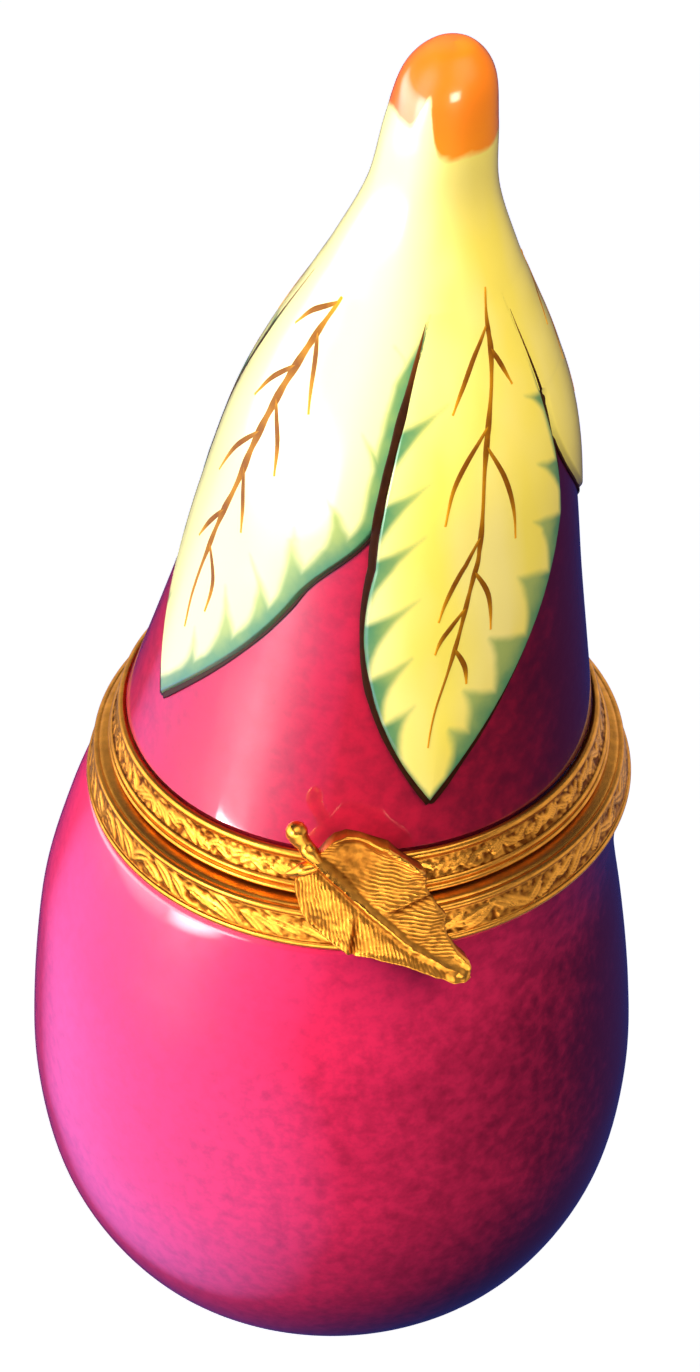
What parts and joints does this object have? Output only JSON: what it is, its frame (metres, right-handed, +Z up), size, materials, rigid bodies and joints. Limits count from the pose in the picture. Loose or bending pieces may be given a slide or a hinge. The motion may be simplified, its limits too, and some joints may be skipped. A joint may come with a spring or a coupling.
{
  "type": "eggplant-shaped hinged porcelain trinket box",
  "caption": "Upright porcelain trinket box shaped as an eggplant, opening at hinged brass rims that a brass leaf clasp holds shut.",
  "frame": {"origin": "middle of the flat foot that the box stands on", "axes": "+Z up through the body to the stem, -Y towards the leaf clasp at the front, +Y towards the hinge, +X the side that the stem leans to"},
  "size_m": [0.0402, 0.0408, 0.0954],
  "materials": {
    "glazed_purple_porcelain": "hand-painted and gloss glazed",
    "gilt_brass": "cast, chased and polished, with dark patina in the hollows"
  },
  "bodies": {
    "base": {"base_bowl": "glazed_purple_porcelain", "base_rim": "gilt_brass", "base_hinge_plate": "gilt_brass", "hinge_pin": "gilt_brass", "catch_stud": "gilt_brass"},
    "lid": {"lid_shell": "glazed_purple_porcelain", "lid_rim": "gilt_brass", "lid_hinge_plate": "gilt_brass", "leaf_clasp": "gilt_brass"}
  },
  "joints": [
    {"name": "lid_hinge", "type": "hinge", "parent": "base", "child": "lid", "pos_m": [0.00182, 0.0193, 0.0437], "axis": [-1, 0, 0], "range_deg": [0, 100]}
  ]
}
